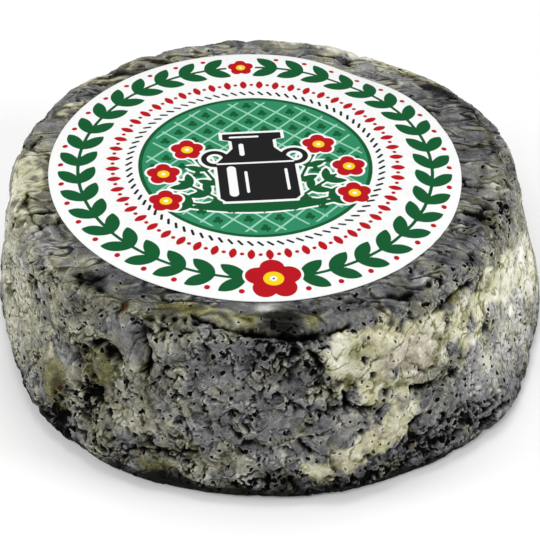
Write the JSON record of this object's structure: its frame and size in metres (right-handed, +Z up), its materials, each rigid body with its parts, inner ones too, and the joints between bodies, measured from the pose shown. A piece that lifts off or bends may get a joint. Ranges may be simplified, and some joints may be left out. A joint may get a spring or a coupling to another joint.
{
  "type": "selles-sur-cher cheese",
  "caption": "Small round ash-coated goat's cheese, a low drum wider at its base, with a creased grey rind and a round paper label on its top.",
  "frame": {"origin": "centre of the flat base, on the surface that the cheese stands on", "axes": "+Z up through the label, -Y towards the side that the picture shows, +X to the right of it"},
  "size_m": [0.0878, 0.0892, 0.0277],
  "materials": {
    "rind": "moist, wrinkled mould rind dusted with ash",
    "paper": "printed paper, slightly smooth"
  },
  "bodies": {
    "root": {"cheese": "rind", "label": "paper"}
  },
  "joints": []
}
